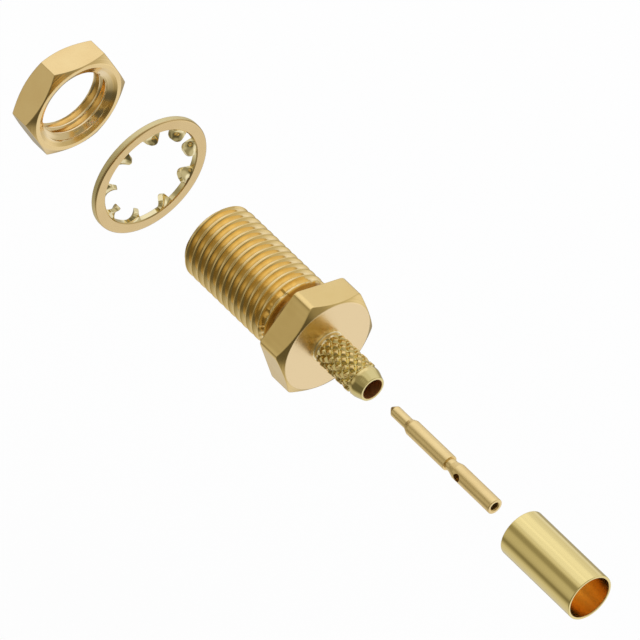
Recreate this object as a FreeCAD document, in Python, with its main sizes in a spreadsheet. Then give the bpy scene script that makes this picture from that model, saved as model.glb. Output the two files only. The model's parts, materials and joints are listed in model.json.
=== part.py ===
"""A reverse-polarity coaxial bulkhead jack with crimp termination, laid out along its axis as it is supplied.

The axis is X: the mating end points to -X and the cable end to +X. The origin lies on the axis, in the plane of
the flange's front face, which is where the connector seats on its panel. +Z is square to two flats of the flange.
"""
import FreeCAD, Part
import math
import os
import re

import Sketcher
from FreeCAD import Placement, Rotation, Vector

doc = FreeCAD.newDocument("BulkheadJack")

# Driving dimensions, in millimetres and degrees
SIZES = [
    ("thread_major", 6.35, "outside diameter of the panel thread"),
    ("thread_pitch", 0.7056, "one turn of that thread, 36 to the inch"),
    ("barrel_length", 11.2, "flange front face to mating end"),
    ("barrel_chamfer", 0.4, "lead chamfer at the mating end"),
    ("socket_diameter", 4.6, "bore that takes the mating plug's sleeve"),
    ("socket_depth", 1.93, "mating end to reference plane"),
    ("flange_flats", 8.0, "width across the flange's flats"),
    ("flange_thickness", 2.45, "flange front face to rear face"),
    ("flange_face_relief", 0.15, "flats to the flat circle on the flange's rear face"),
    ("flange_front_break", 0.1, "edge break on the flange's front corners"),
    ("corner_angle", 30.0, "slope of the turned corners on both hexagons"),
    ("rear_wall", 0.5, "metal between the insulator and the rear face"),
    ("stem_length", 5.4, "flange rear face to the stem's cable end"),
    ("stem_diameter", 2.75, "over the knurl that grips the braid"),
    ("stem_bore", 1.69, "passes the cable's dielectric and the contact"),
    ("stem_neck_length", 0.35, "plain neck between flange and knurl"),
    ("stem_neck_cut", 0.12, "depth of that neck below the knurl"),
    ("nose_length", 1.2, "plain nose that leads under the braid"),
    ("nose_land", 2.6, "the nose beside the knurl"),
    ("nose_taper", 0.5, "length of the nose's tapered end"),
    ("nose_diameter", 2.2, "the nose at its very end"),
    ("insulator_diameter", 4.1, "dielectric sleeve in the barrel"),
    ("insulator_clearance", 0.02, "all round the dielectric sleeve"),
    ("contact_shank", 1.27, "diameter of the centre contact"),
    ("contact_tip", 0.9, "diameter of its mating pin"),
    ("contact_length", 12.2, "tip to wire end"),
    ("contact_tip_length", 2.0, "tip to the start of the step"),
    ("contact_step_length", 0.45, "cone between pin and shank"),
    ("contact_point_length", 0.28, "cone at the point"),
    ("contact_point", 0.36, "flat at the very point, across"),
    ("groove_start", 6.85, "tip to the square side of the retaining groove"),
    ("groove_floor", 0.45, "length of the groove's floor"),
    ("groove_ramp", 0.55, "length of the groove's sloped side"),
    ("groove_diameter", 0.96, "across the groove's floor"),
    ("wire_bore", 0.66, "diameter of the solder cup"),
    ("wire_bore_depth", 4.0, "depth of the solder cup"),
    ("wire_bore_mouth", 0.08, "chamfer at the cup's mouth"),
    ("drill_point", 118.0, "point angle of the drill that makes the cup"),
    ("sight_hole", 0.64, "diameter of the solder sight hole"),
    ("sight_hole_place", 3.8, "wire end to the sight hole's centre"),
    ("contact_clearance", 0.05, "all round the contact in the insulator"),
    ("contact_recess", 0.35, "seated pin's tip behind the mating end"),
    ("ferrule_outer", 3.9, "outside diameter of the crimp ferrule"),
    ("ferrule_bore", 3.5, "inside diameter of the crimp ferrule"),
    ("ferrule_length", 7.9, "length of the crimp ferrule"),
    ("ferrule_edge", 0.08, "edge break at the ferrule's ends"),
    ("washer_outer", 10.3, "outside diameter of the lock washer"),
    ("washer_root", 8.4, "diameter of the gaps between its teeth"),
    ("washer_thickness", 0.55, "sheet that the washer is stamped from"),
    ("washer_edge", 0.1, "rolled edge of the stamping"),
    ("washer_clearance", 0.07, "thread to tooth tips, all round"),
    ("tooth_count", 9, "teeth round the washer"),
    ("tooth_root_width", 1.4, "tooth where it leaves the ring"),
    ("tooth_width", 1.15, "tooth where its twist is half done"),
    ("tooth_tip_width", 1.1, "tooth at its tip"),
    ("tooth_twist", 58.0, "turn of a tooth's tip out of the ring's plane"),
    ("washer_turn", 13.0, "the washer's own turn about the axis"),
    ("nut_flats", 8.0, "width across the panel nut's flats"),
    ("nut_thickness", 2.5, "length of the panel nut"),
    ("nut_face_relief", 0.1, "flats to the flat circle on each face of the nut"),
    ("nut_clearance", 0.075, "thread to nut bore, all round"),
    ("nut_countersink", 0.35, "depth of the countersinks in the nut's faces"),
    ("nut_turn", 9.2, "the nut's own turn about the axis"),
    ("seat_gap", 0.08, "left where one piece seats against another"),
    ("washer_standoff", 8.1, "mating end to the middle of the washer"),
    ("nut_turns_off", 11.4, "turns of thread between the nut and its seat"),
    ("contact_standoff", 2.3, "stem end to the contact's tip"),
    ("ferrule_standoff", 3.15, "contact's wire end to the ferrule"),
]

# Values that follow from the driving dimensions
FORMULAS = [
    ("bore_floor", "flange_thickness - rear_wall"),
    ("reference_plane", "socket_depth - barrel_length"),
    ("stem_end", "flange_thickness + stem_length"),
    ("corner_slope", "tan(corner_angle * 1deg)"),
    ("stock_diameter", "max(flange_flats; nut_flats) * 1.2"),
    ("flange_corner", "flange_flats / sqrt(3)"),
    ("flange_face", "flange_flats / 2 - flange_face_relief"),
    ("flange_corner_drop", "(flange_corner - flange_face) * corner_slope"),
    ("cup_floor", "contact_length - wire_bore_depth"),
    ("cup_point", "cup_floor - wire_bore / 2 / tan(drill_point / 2 * 1deg)"),
    ("washer_bore", "thread_major + 2 * washer_clearance"),
    ("half_twist", "tooth_twist * 2 / 3"),
    ("tip_reach", "(tooth_tip_width * sin(tooth_twist * 1deg) + washer_thickness * cos(tooth_twist * 1deg)) / 2"),
    ("middle_reach", "(tooth_width * sin(half_twist * 1deg) + washer_thickness * cos(half_twist * 1deg)) / 2"),
    ("tooth_reach", "max(tip_reach; middle_reach)"),
    ("nut_corner", "nut_flats / sqrt(3)"),
    ("nut_face", "nut_flats / 2 - nut_face_relief"),
    ("nut_corner_drop", "(nut_corner - nut_face) * corner_slope"),
    ("nut_bore", "thread_major / 2 + nut_clearance"),
    ("washer_place", "0 - barrel_length - washer_standoff"),
    ("nut_travel", "nut_turns_off * thread_pitch"),
    ("nut_place", "washer_place - tooth_reach - seat_gap - nut_travel"),
    ("contact_place", "stem_end + contact_standoff"),
    ("ferrule_place", "contact_place + contact_length + ferrule_standoff"),
    ("washer_travel", "0 - washer_place - tooth_reach - seat_gap"),
    ("contact_travel", "contact_place + barrel_length - contact_recess"),
    ("ferrule_travel", "ferrule_place - flange_thickness - seat_gap"),
]

sheet = doc.addObject("Spreadsheet::Sheet", "Sizes")
for row, (alias, value, meaning) in enumerate(SIZES, start=1):
    sheet.set(f"A{row}", alias)
    sheet.set(f"B{row}", str(value))
    sheet.set(f"C{row}", meaning)
    sheet.setAlias(f"B{row}", alias)
for row, (alias, formula) in enumerate(FORMULAS, start=len(SIZES) + 1):
    sheet.set(f"A{row}", alias)
    sheet.set(f"B{row}", "=" + formula)
    sheet.setAlias(f"B{row}", alias)
doc.recompute()

ALIASES = {entry[0] for entry in SIZES + FORMULAS}


def bound(expression):
    """The expression with every alias in it pointing at the spreadsheet."""
    return re.sub(r"[a-z_]+", lambda word: "Sizes." + word[0] if word[0] in ALIASES else word[0], expression)


def value_of(expression):
    """The number that an expression of aliases stands for at this moment."""
    return float(sheet.evalExpression(expression))


def new_body(label):
    body = doc.addObject("PartDesign::Body", label)
    body.Label = label
    return body


def origin_feature(body, role):
    """The body's own origin plane or axis with this role."""
    return next(feature for feature in body.Origin.OriginFeatures if feature.Role == role)


def new_sketch(body, name, role, offset="0", turn="0"):
    """A sketch on an origin plane, moved along the plane's normal and turned in the plane."""
    sketch = body.newObject("Sketcher::SketchObject", name)
    sketch.AttachmentSupport = (origin_feature(body, role), [""])
    sketch.MapMode = "FlatFace"
    sketch.AttachmentOffset = Placement(Vector(0, 0, 0), Rotation(Vector(0, 0, 1), 1))
    sketch.setExpression(".AttachmentOffset.Base.z", bound(offset))
    sketch.setExpression(".AttachmentOffset.Rotation.Angle", bound(turn))
    return sketch


def dimension(sketch, kind, expression, *where):
    """A dimension in a sketch whose value is bound to an expression of aliases."""
    index = sketch.addConstraint(Sketcher.Constraint(kind, *where, value_of(expression)))
    sketch.setExpression(f"Constraints[{index}]", bound(expression))


def add_outline(sketch, points):
    """A closed outline of straight lines through (across, up) points, each given as two expressions."""
    places = [Vector(value_of(across), value_of(up), 0) for across, up in points]
    first = sketch.GeometryCount
    for here, there in zip(places, places[1:] + places[:1]):
        sketch.addGeometry(Part.LineSegment(here, there), False)
    for number, (across, up) in enumerate(points):
        line = first + number
        following = first + (number + 1) % len(points)
        sketch.addConstraint(Sketcher.Constraint("Coincident", line, 2, following, 1))
        dimension(sketch, "DistanceX", across, -1, 1, line, 1)
        dimension(sketch, "DistanceY", up, -1, 1, line, 1)


def add_circle(sketch, diameter, across="0", up="0"):
    centre = Vector(value_of(across), value_of(up), 0)
    circle = sketch.addGeometry(Part.Circle(centre, Vector(0, 0, 1), value_of(diameter) / 2), False)
    dimension(sketch, "Diameter", diameter, circle)
    dimension(sketch, "DistanceX", across, -1, 1, circle, 3)
    dimension(sketch, "DistanceY", up, -1, 1, circle, 3)


def add_hexagon(sketch, flats):
    """A regular hexagon about the sketch's origin, with two flats square to the sketch's second axis."""
    reach = value_of(flats) / math.sqrt(3)
    corners = [Rotation(Vector(0, 0, 1), angle).multVec(Vector(reach, 0, 0)) for angle in range(0, 360, 60)]
    first = sketch.GeometryCount
    for here, there in zip(corners, corners[1:] + corners[:1]):
        sketch.addGeometry(Part.LineSegment(here, there), False)
    guide = sketch.addGeometry(Part.Circle(Vector(0, 0, 0), Vector(0, 0, 1), reach), True)
    sketch.addConstraint(Sketcher.Constraint("Coincident", guide, 3, -1, 1))
    for number in range(6):
        side = first + number
        sketch.addConstraint(Sketcher.Constraint("Coincident", side, 2, first + (number + 1) % 6, 1))
        sketch.addConstraint(Sketcher.Constraint("PointOnObject", side, 1, guide))
        if number:
            sketch.addConstraint(Sketcher.Constraint("Equal", first, side))
    top = first + 1
    sketch.addConstraint(Sketcher.Constraint("Horizontal", top))
    dimension(sketch, "DistanceY", f"{flats} / 2", -1, 1, top, 1)


def revolve(body, name, points, kind="PartDesign::Revolution"):
    """A full turn about the X axis of an outline of (place along X, radius) points."""
    sketch = new_sketch(body, name + "Outline", "XZ_Plane")
    add_outline(sketch, points)
    turned = body.newObject(kind, name)
    turned.Profile = sketch
    turned.ReferenceAxis = (sketch, ["H_Axis"])
    turned.Angle = 360
    return turned


def mill_hexagon(body, name, flats, start, length):
    """Mills six flats on a turned collar that reaches from start towards +X."""
    sketch = new_sketch(body, name + "Outline", "YZ_Plane", offset=start)
    add_hexagon(sketch, flats)
    add_circle(sketch, "stock_diameter")
    milled = body.newObject("PartDesign::Pocket", name)
    milled.Profile = sketch
    milled.setExpression("Length", bound(length))
    milled.Reversed = True


def place(body, along, turn="0"):
    """Puts a body at its place in the row: a distance along the axis and a turn about it."""
    body.Placement = Placement(Vector(0, 0, 0), Rotation(Vector(1, 0, 0), 1))
    body.setExpression(".Placement.Base.x", bound(along))
    body.setExpression(".Placement.Rotation.Angle", bound(turn))


def make_connector_body():
    """Barrel, hexagon flange and crimp stem, turned in one piece from hexagon bar."""
    body = new_body("connector_body")
    revolve(body, "Turned", [
        ("0 - barrel_length", "socket_diameter / 2"),
        ("0 - barrel_length", "thread_major / 2 - barrel_chamfer"),
        ("barrel_chamfer - barrel_length", "thread_major / 2"),
        ("0", "thread_major / 2"),
        ("0", "flange_corner - flange_front_break"),
        ("flange_front_break", "flange_corner"),
        ("flange_thickness - flange_corner_drop", "flange_corner"),
        ("flange_thickness", "flange_face"),
        ("flange_thickness", "stem_diameter / 2 - stem_neck_cut"),
        ("flange_thickness + stem_neck_length", "stem_diameter / 2 - stem_neck_cut"),
        ("flange_thickness + stem_neck_length", "stem_diameter / 2"),
        ("stem_end - nose_length", "stem_diameter / 2"),
        ("stem_end - nose_length", "nose_land / 2"),
        ("stem_end - nose_taper", "nose_land / 2"),
        ("stem_end", "nose_diameter / 2"),
        ("stem_end", "stem_bore / 2"),
        ("bore_floor", "stem_bore / 2"),
        ("bore_floor", "insulator_diameter / 2"),
        ("reference_plane", "insulator_diameter / 2"),
        ("reference_plane", "socket_diameter / 2"),
    ])
    mill_hexagon(body, "FlangeFlats", "flange_flats", "0", "flange_thickness")
    return body


def make_insulator():
    """The dielectric sleeve that holds the contact on the axis, flush with the reference plane."""
    body = new_body("insulator")
    outer = "insulator_diameter / 2 - insulator_clearance"
    bore = "contact_shank / 2 + contact_clearance"
    revolve(body, "Sleeve", [
        ("reference_plane", bore),
        ("reference_plane", outer),
        ("bore_floor", outer),
        ("bore_floor", bore),
    ])
    return body


def make_centre_contact():
    """The stepped pin with its retaining groove, solder cup and sight hole."""
    body = new_body("centre_contact")
    revolve(body, "Pin", [
        ("0", "0"),
        ("0", "contact_point / 2"),
        ("contact_point_length", "contact_tip / 2"),
        ("contact_tip_length", "contact_tip / 2"),
        ("contact_tip_length + contact_step_length", "contact_shank / 2"),
        ("groove_start", "contact_shank / 2"),
        ("groove_start", "groove_diameter / 2"),
        ("groove_start + groove_floor", "groove_diameter / 2"),
        ("groove_start + groove_floor + groove_ramp", "contact_shank / 2"),
        ("contact_length", "contact_shank / 2"),
        ("contact_length", "wire_bore / 2 + wire_bore_mouth"),
        ("contact_length - wire_bore_mouth", "wire_bore / 2"),
        ("cup_floor", "wire_bore / 2"),
        ("cup_point", "0"),
    ])
    sketch = new_sketch(body, "SightHoleOutline", "XZ_Plane")
    add_circle(sketch, "sight_hole", across="contact_length - sight_hole_place")
    hole = body.newObject("PartDesign::Pocket", "SightHole")
    hole.Profile = sketch
    hole.setExpression("Length", bound("contact_shank"))
    hole.Reversed = True
    place(body, "contact_place")
    return body


def make_crimp_ferrule():
    """The plain thin tube that is squeezed over braid and stem."""
    body = new_body("crimp_ferrule")
    revolve(body, "Tube", [
        ("0", "ferrule_bore / 2"),
        ("0", "ferrule_outer / 2 - ferrule_edge"),
        ("ferrule_edge", "ferrule_outer / 2"),
        ("ferrule_length - ferrule_edge", "ferrule_outer / 2"),
        ("ferrule_length", "ferrule_outer / 2 - ferrule_edge"),
        ("ferrule_length", "ferrule_bore / 2"),
    ])
    place(body, "ferrule_place")
    return body


def make_lock_washer():
    """A stamped ring whose inner teeth are each twisted out of its plane."""
    body = new_body("lock_washer")
    half = "washer_thickness / 2"
    revolve(body, "Ring", [
        (f"0 - {half}", "washer_root / 2"),
        (f"0 - {half}", "washer_outer / 2 - washer_edge"),
        (f"washer_edge - {half}", "washer_outer / 2"),
        (half, "washer_outer / 2"),
        (half, "washer_root / 2"),
    ])
    root = "washer_root / 2"
    tip = "washer_bore / 2"
    stations = [
        ("ToothRoot", f"{root} + {half}", "tooth_root_width", "0"),
        ("ToothMiddle", f"({root} * 2 + {tip}) / 3", "tooth_width", "0 - half_twist"),
        ("ToothTip", tip, "tooth_tip_width", "0 - tooth_twist"),
    ]
    sections = []
    for name, radius, width, twist in stations:
        section = new_sketch(body, name, "XY_Plane", offset=radius, turn=twist)
        add_outline(section, [
            (f"0 - {half}", f"0 - {width} / 2"),
            (half, f"0 - {width} / 2"),
            (half, f"{width} / 2"),
            (f"0 - {half}", f"{width} / 2"),
        ])
        sections.append(section)
    tooth = body.newObject("PartDesign::AdditiveLoft", "Tooth")
    tooth.Profile = sections[0]
    tooth.Sections = sections[1:]
    doc.recompute()
    teeth = body.newObject("PartDesign::PolarPattern", "Teeth")
    teeth.Originals = [tooth]
    teeth.Axis = (origin_feature(body, "X_Axis"), [""])
    teeth.Angle = 360
    teeth.setExpression("Occurrences", bound("tooth_count"))
    body.Tip = teeth
    place(body, "washer_place", "washer_turn")
    return body


def make_hex_nut():
    """The thin panel nut, turned at both faces and countersunk from both sides."""
    body = new_body("hex_nut")
    revolve(body, "Turned", [
        ("0 - nut_thickness", "nut_bore + nut_countersink"),
        ("0 - nut_thickness", "nut_face"),
        ("nut_corner_drop - nut_thickness", "nut_corner"),
        ("0 - nut_corner_drop", "nut_corner"),
        ("0", "nut_face"),
        ("0", "nut_bore + nut_countersink"),
        ("0 - nut_countersink", "nut_bore"),
        ("nut_countersink - nut_thickness", "nut_bore"),
    ])
    mill_hexagon(body, "NutFlats", "nut_flats", "0 - nut_thickness", "nut_thickness")
    place(body, "nut_place", "nut_turn")
    return body


bodies = [
    make_connector_body(),
    make_insulator(),
    make_centre_contact(),
    make_crimp_ferrule(),
    make_lock_washer(),
    make_hex_nut(),
]
doc.recompute()

for item in doc.Objects:
    if "Invalid" in item.State or "Error" in item.State:
        raise RuntimeError(f"{item.Label} could not be computed: {item.State}")
for body in bodies:
    if body.Shape.isNull() or not body.Shape.isValid() or len(body.Shape.Solids) != 1:
        raise RuntimeError(f"{body.Label} is not one valid solid")

os.makedirs("parts", exist_ok=True)
for body in bodies:
    body.Shape.exportStep(os.path.join("parts", body.Label + ".step"))
    box = body.Shape.BoundBox
    print(f"{body.Label}: x {box.XMin:.3f} to {box.XMax:.3f}, across {box.YLength:.3f} by {box.ZLength:.3f}, "
          f"volume {body.Shape.Volume:.3f}")
for travel in ("washer_travel", "nut_travel", "contact_travel", "ferrule_travel"):
    print(f"{travel}: {sheet.get(travel)}")
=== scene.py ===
"""The look of a crimp-type coaxial bulkhead jack, laid out along its axis as it is supplied.

The axis is X: the mating end points to -X and the cable end to +X. Sizes are in millimetres until a mesh is written.
"""
import json
import logging
import math
from dataclasses import dataclass
from enum import Enum
from typing import Any, Optional

import bmesh
import bpy
import numpy as np
from mathutils import Matrix, Vector


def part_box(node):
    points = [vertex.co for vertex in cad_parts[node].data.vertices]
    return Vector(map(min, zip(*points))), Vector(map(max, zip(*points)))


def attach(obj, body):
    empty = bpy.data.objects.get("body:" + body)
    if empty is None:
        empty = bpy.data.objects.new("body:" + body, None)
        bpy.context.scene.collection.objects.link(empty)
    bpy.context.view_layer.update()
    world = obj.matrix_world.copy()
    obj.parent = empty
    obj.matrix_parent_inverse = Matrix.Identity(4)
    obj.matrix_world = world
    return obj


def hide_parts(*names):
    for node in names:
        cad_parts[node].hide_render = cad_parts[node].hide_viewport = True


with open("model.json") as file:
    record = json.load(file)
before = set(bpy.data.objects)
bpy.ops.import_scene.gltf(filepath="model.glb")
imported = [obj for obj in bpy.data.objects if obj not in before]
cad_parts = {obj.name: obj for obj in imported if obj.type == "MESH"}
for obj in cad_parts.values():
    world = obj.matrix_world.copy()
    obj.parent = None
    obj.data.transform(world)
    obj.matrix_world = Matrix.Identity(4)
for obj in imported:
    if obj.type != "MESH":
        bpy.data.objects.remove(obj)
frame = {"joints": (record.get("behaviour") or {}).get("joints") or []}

log = logging.getLogger("bulkhead_jack")

MM = 0.001
TURN = 2.0 * math.pi
TAN_30 = math.tan(math.radians(30.0))
WHITE = (1.0, 1.0, 1.0, 1.0)
# Edges that bend more than this stay sharp in the shading.
SMOOTH_LIMIT = math.radians(40.0)
# Points that agree to this many decimals of a millimetre are welded, and columns to this many of a radian are one.
WELD_DIGITS = 5
ANGLE_DIGITS = 7
# Points along each rounded corner of a profile besides its ends, the share of a side that a corner may take, and
# where the point beyond each end of its curve lies, in cuts from the corner.
CURVE_STEPS = 3
CURVE_SHARE = 0.3
CURVE_REACH = 1.5
# Cuts of the profiles' corners: none, and the breaks that a finer or a coarser tool leaves.
SHARP, KEEN, FINE, EASED, BROKEN = 0.0, 0.02, 0.03, 0.04, 0.05
# Half the distance between the two rows in the middle of a tube's bore.
TUBE_SEAM = 0.5
# Turns of the thread's rows beyond each end, before they are held between the ends.
SPARE_TURNS = 2
# Waves round the barrel and the phase of each sine that tears the thread's last crest.
TORN_WAVES = ((9, 1.0), (17, 2.3), (29, 0.7))
# Extra columns beside a hexagon's corner, in half-widths of its rounding.
CORNER_COLUMNS = (-1.9, -1.15, -0.75, -0.35, 0.35, 0.75, 1.15, 1.9)
# The scale at which a wave texture repeats once in each unit, and the limits of most of a noise texture's values.
WAVE_SCALE = TURN / 20.0
NOISE_LOW, NOISE_HIGH = 0.3, 0.7
# The panel thread has 36 turns to the inch.
REAL_PITCH = 25.4 / 36


class Surface(Enum):
    """How the metal under the plating was worked."""

    TURNED = "turned"
    DRAWN = "drawn"
    STAMPED = "stamped"


def linear(colour: str) -> tuple[float, float, float, float]:
    """Turns an sRGB hex colour to linear light.

    Args:
        colour: A colour such as "#C8A45D".

    Returns:
        Red, green, blue and an alpha of one.
    """
    channels = [int(colour[place:place + 2], 16) / 255.0 for place in (1, 3, 5)]
    red, green, blue = [c / 12.92 if c <= 0.04045 else ((c + 0.055) / 1.055) ** 2.4 for c in channels]
    return red, green, blue, 1.0


def add_node(tree: bpy.types.NodeTree, kind: str, settings: Optional[dict[str, Any]] = None,
             inputs: Optional[dict[Any, Any]] = None) -> bpy.types.Node:
    """Adds a node, sets its properties, and sets or links its inputs.

    A Mix node takes numbers at inputs 2 and 3 and colours at 6 and 7, and gives its colour at output 2.

    Args:
        tree: The node tree that takes the node.
        kind: The node's type name, without "ShaderNode" before it.
        settings: Properties by name.
        inputs: Values, output sockets, or nodes for their first output, by the input's name or number.

    Returns:
        The new node.
    """
    node = tree.nodes.new("ShaderNode" + kind)
    for name, value in (settings or {}).items():
        setattr(node, name, value)
    for name, value in (inputs or {}).items():
        source = value.outputs[0] if isinstance(value, bpy.types.Node) else value
        if isinstance(source, bpy.types.NodeSocket):
            tree.links.new(source, node.inputs[name])
        else:
            node.inputs[name].default_value = source
    return node


def new_object(name: str, data: bpy.types.ID) -> bpy.types.Object:
    """Puts a mesh, a lamp or a camera into the scene.

    Args:
        name: The object's name.
        data: What the object shows.

    Returns:
        The new object, at the origin.
    """
    obj = bpy.data.objects.new(name, data)
    bpy.context.scene.collection.objects.link(obj)
    return obj


def new_material(name: str) -> bpy.types.Material:
    """Starts a material that has no nodes yet.

    Args:
        name: The material's name.

    Returns:
        The new material.
    """
    material = bpy.data.materials.new(name)
    material.use_nodes = True
    material.node_tree.nodes.clear()
    return material


def column_profile(corners: list[tuple[Any, Any, float]], columns: int) -> np.ndarray:
    """Makes a profile with rounded corners.

    Each corner with a cut gives way to a quadratic curve between the points that lie one cut before and one cut
    after it, with one more point beyond each end of the curve, so that the flat beside it keeps a flat shading.

    Args:
        corners: Place along the axis, radius and cut of each corner. The first two may be arrays over the columns,
            and a cut of zero keeps the corner sharp.
        columns: Columns of the mesh.

    Returns:
        Rows by columns by two.
    """
    points = np.empty((len(corners), columns, 2))
    for number, (along, radius, _) in enumerate(corners):
        points[number, :, 0] = along
        points[number, :, 1] = radius
    rows = [points[:1]]
    share = np.linspace(0.0, 1.0, CURVE_STEPS + 2)[:, None, None]
    for number, (_, _, cut) in enumerate(corners[1:-1], 1):
        corner = points[number:number + 1]
        if cut <= 0.0:
            rows.append(corner)
            continue
        steps = []
        for beside in (number - 1, number + 1):
            side = points[beside:beside + 1] - corner
            reach = np.linalg.norm(side, axis=2, keepdims=True)
            steps.append(side / reach * np.minimum(cut, CURVE_SHARE * reach))
        before, after = steps
        curve = (1 - share) ** 2 * (corner + before) + 2 * share * (1 - share) * corner + share ** 2 * (corner + after)
        rows += [corner + before * CURVE_REACH, curve, corner + after * CURVE_REACH]
    rows.append(points[-1:])
    return np.concatenate(rows)


def hexagon_radius(angles: np.ndarray, flats: float, edge: float) -> np.ndarray:
    """The radius of a hexagon with rounded corners, in each direction.

    A flat lies at half the width across flats divided by the cosine of the angle from its middle. Near a corner the
    radius is where the ray meets a small circle that touches both flats.

    Args:
        angles: Directions in radians, with a corner at zero.
        flats: Width across flats.
        edge: Radius of the small circle.

    Returns:
        One radius for each angle.
    """
    from_corner = np.abs((angles + math.pi / 6) % (math.pi / 3) - math.pi / 6)
    flat = flats / 2 / np.cos(math.pi / 6 - from_corner)
    centre = flats / math.sqrt(3) - edge / math.cos(math.pi / 6)
    touch = math.atan2(edge / 2, centre + edge * math.cos(math.pi / 6))
    inside = np.maximum(edge ** 2 - (centre * np.sin(from_corner)) ** 2, 0.0)
    arc = centre * np.cos(from_corner) + np.sqrt(inside)
    return np.where(from_corner < touch, arc, flat)


def column_angles(count: int, flats: float = 0.0, edge: float = 0.0) -> np.ndarray:
    """Directions of a mesh's columns: evenly spaced, with more of them at a hexagon's corners.

    Args:
        count: Evenly spaced columns.
        flats: Width across the hexagon's flats, or zero for a round piece.
        edge: Radius of the hexagon's rounded corners.

    Returns:
        Rising angles from zero to just under a turn.
    """
    angles = np.arange(count) * TURN / count
    if flats:
        near = np.array(CORNER_COLUMNS) * (edge / flats)
        extra = (np.arange(6)[:, None] * math.pi / 3 + near[None, :]).ravel() % TURN
        angles = np.concatenate([angles, extra])
    return np.unique(np.round(angles, ANGLE_DIGITS))


def carry(profile: np.ndarray, angles: np.ndarray) -> np.ndarray:
    """Carries a profile round the X axis: Y is the radius times the cosine of the angle, and Z times its sine.

    Args:
        profile: Rows by columns by two, as places along the axis and radii.
        angles: One angle for each column.

    Returns:
        Rows by columns by three.
    """
    along, radius = np.broadcast_arrays(profile[..., 0], profile[..., 1])
    return np.stack([along, radius * np.cos(angles), radius * np.sin(angles)], axis=2)


class MeshMaker:
    """Collects grids of points and writes them as one mesh."""

    def __init__(self) -> None:
        """Starts with no points."""
        self.points: list[np.ndarray] = []
        self.faces: list[np.ndarray] = []
        self.size = 0

    def add_points(self, points: np.ndarray) -> int:
        """Adds points.

        Args:
            points: Any number of rows of three, in millimetres.

        Returns:
            The number of the first of them.
        """
        start = self.size
        self.points.append(points.reshape(-1, 3))
        self.size += self.points[-1].shape[0]
        return start

    def add_grid(self, grid: np.ndarray, close_rows: bool = False, close_columns: bool = True,
                 keep: Optional[np.ndarray] = None, shift: int = 0) -> None:
        """Adds a grid of points with a quad between each four neighbours.

        Args:
            grid: Rows by columns by three.
            close_rows: Whether the last row joins the first.
            close_columns: Whether the last column joins the first.
            keep: Which quads stay, rows of quads by columns of quads, or all.
            shift: How many rows further on the last column joins the first, for rows that follow a helix.
        """
        rows, columns = grid.shape[:2]
        numbers = self.add_points(grid) + np.arange(rows * columns).reshape(rows, columns)
        if close_rows:
            numbers = np.vstack([numbers, numbers[:1]])
        if close_columns:
            onward = np.minimum(np.arange(len(numbers)) + shift, len(numbers) - 1)
            numbers = np.hstack([numbers, numbers[onward, :1]])
        quads = np.stack([numbers[:-1, :-1], numbers[:-1, 1:], numbers[1:, 1:], numbers[1:, :-1]], axis=2)
        self.faces.append(quads[keep] if keep is not None else quads.reshape(-1, 4))

    def add_pole(self, ring: np.ndarray, tip: np.ndarray) -> None:
        """Closes a ring of points with triangles to one point.

        Args:
            ring: Columns by three.
            tip: The point.
        """
        count = ring.shape[0]
        start = self.add_points(np.vstack([ring, tip[None, :]]))
        here = start + np.arange(count)
        there = start + (np.arange(count) + 1) % count
        pole = np.full(count, start + count)
        self.faces.append(np.stack([here, there, pole, pole], axis=1))

    def build(self, name: str) -> bpy.types.Object:
        """Welds the points that coincide and writes the mesh.

        A quad with two neighbouring corners in one point becomes a triangle, and one with more of them is dropped.

        Args:
            name: The object's name.

        Returns:
            The new object, at the origin.
        """
        points = np.concatenate(self.points)
        _, first, place = np.unique(np.round(points, WELD_DIGITS) + 0.0, axis=0, return_index=True,
                                    return_inverse=True)
        quads = place.reshape(-1)[np.concatenate(self.faces)]
        same = quads == np.roll(quads, -1, axis=1)
        whole = quads[~same.any(axis=1)]
        thin = same.sum(axis=1) == 1
        triangles = quads[thin][~same[thin]].reshape(-1, 3)
        mesh = bpy.data.meshes.new(name)
        mesh.from_pydata((points[first] * MM).tolist(), [], whole.tolist() + triangles.tolist())
        mesh.validate()
        mend_normals(mesh)
        log.info("%s: %d quads, %d triangles", name, len(whole), len(triangles))
        return new_object(name, mesh)


def mend_normals(mesh: bpy.types.Mesh) -> None:
    """Turns every face of a closed mesh outwards, and shades it smooth but for its sharp edges.

    Args:
        mesh: The mesh.
    """
    work = bmesh.new()
    work.from_mesh(mesh)
    bmesh.ops.recalc_face_normals(work, faces=work.faces)
    work.to_mesh(mesh)
    work.free()
    mesh.shade_smooth()
    mesh.set_sharp_from_angle(angle=SMOOTH_LIMIT)


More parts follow.
